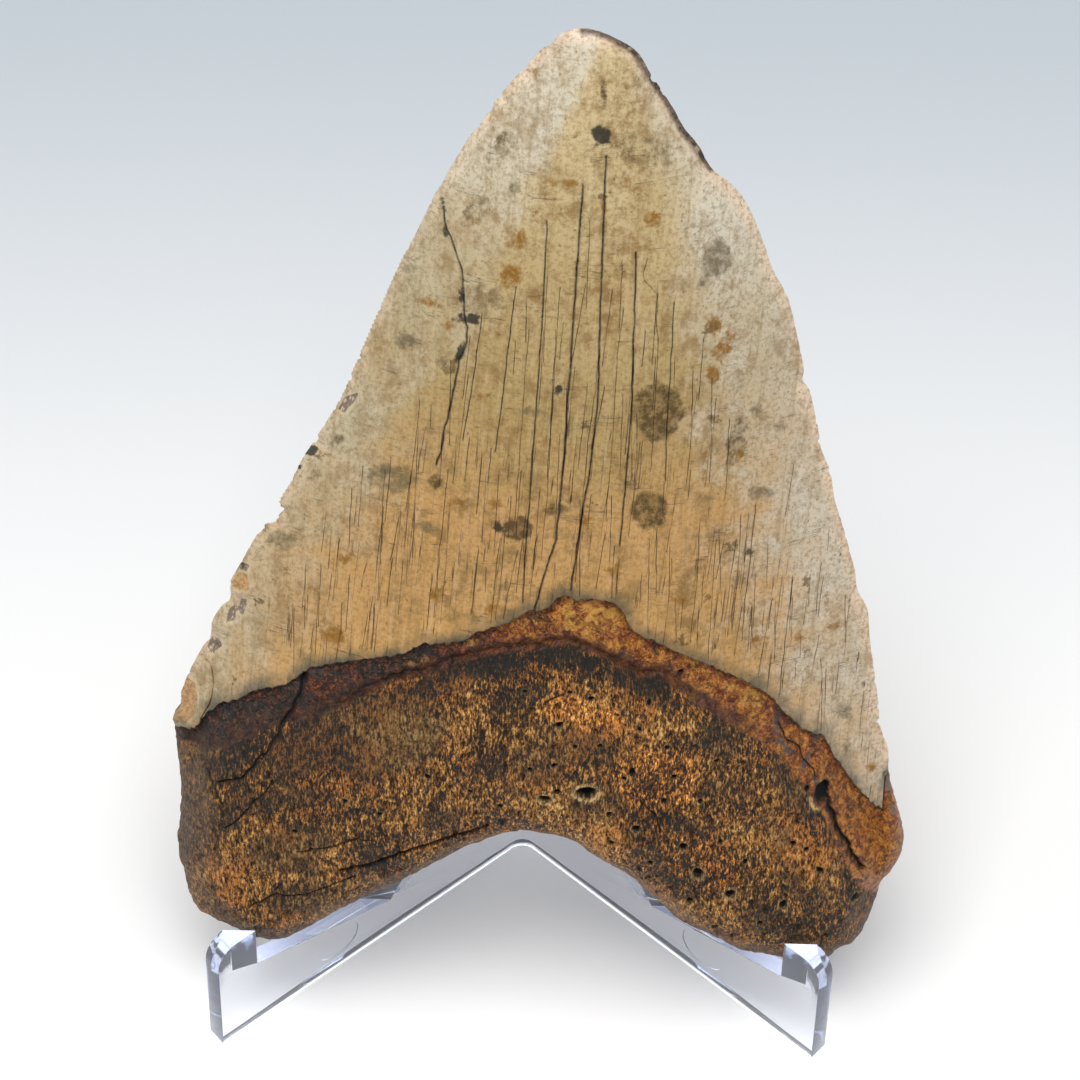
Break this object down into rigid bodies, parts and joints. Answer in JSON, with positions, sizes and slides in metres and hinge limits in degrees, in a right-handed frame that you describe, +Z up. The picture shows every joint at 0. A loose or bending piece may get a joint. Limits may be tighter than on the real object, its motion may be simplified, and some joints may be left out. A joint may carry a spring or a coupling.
{
  "type": "fossil megalodon tooth in a display easel",
  "caption": "Large fossil shark tooth with a pale stained crown and a porous brown root, leaning back in a clear plastic V-shaped display easel.",
  "frame": {"origin": "middle of the object's box, on the surface that the easel's feet stand on", "axes": "+Z up, the tooth's display face towards -Y, +X to the right of someone facing it"},
  "size_m": [0.1058, 0.069, 0.145],
  "materials": {
    "fossil_tooth": "polished enamel, rough porous root",
    "clear_plastic": "clear, glossy"
  },
  "bodies": {
    "root": {"tooth": "fossil_tooth", "stand": "clear_plastic"}
  },
  "joints": []
}
